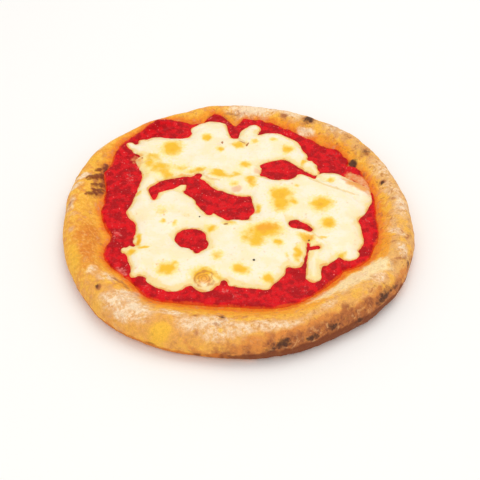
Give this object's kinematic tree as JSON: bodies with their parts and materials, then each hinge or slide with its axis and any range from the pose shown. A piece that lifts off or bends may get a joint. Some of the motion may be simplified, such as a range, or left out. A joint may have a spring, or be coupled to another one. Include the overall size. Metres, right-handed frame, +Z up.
{
  "type": "pizzetta",
  "caption": "Small round pizza with a puffy browned rim, smooth tomato sauce and melted mozzarella in fused slices.",
  "frame": {"origin": "middle of the outline's box, on the plane the flat underside rests on", "axes": "+Z up, -Y towards the widest stretch of rim, +X to the right seen from there"},
  "size_m": [0.1786, 0.1829, 0.0161],
  "materials": {
    "crust": "baked bread, golden with brown and floury patches",
    "sauce": "wet tomato pulp",
    "mozzarella": "melted cheese, cream with golden spots"
  },
  "bodies": {
    "root": {"crust": "crust", "sauce": "sauce", "mozzarella_sheet": "mozzarella", "mozzarella_corner_slice": "mozzarella", "mozzarella_small_slice": "mozzarella"}
  },
  "joints": []
}
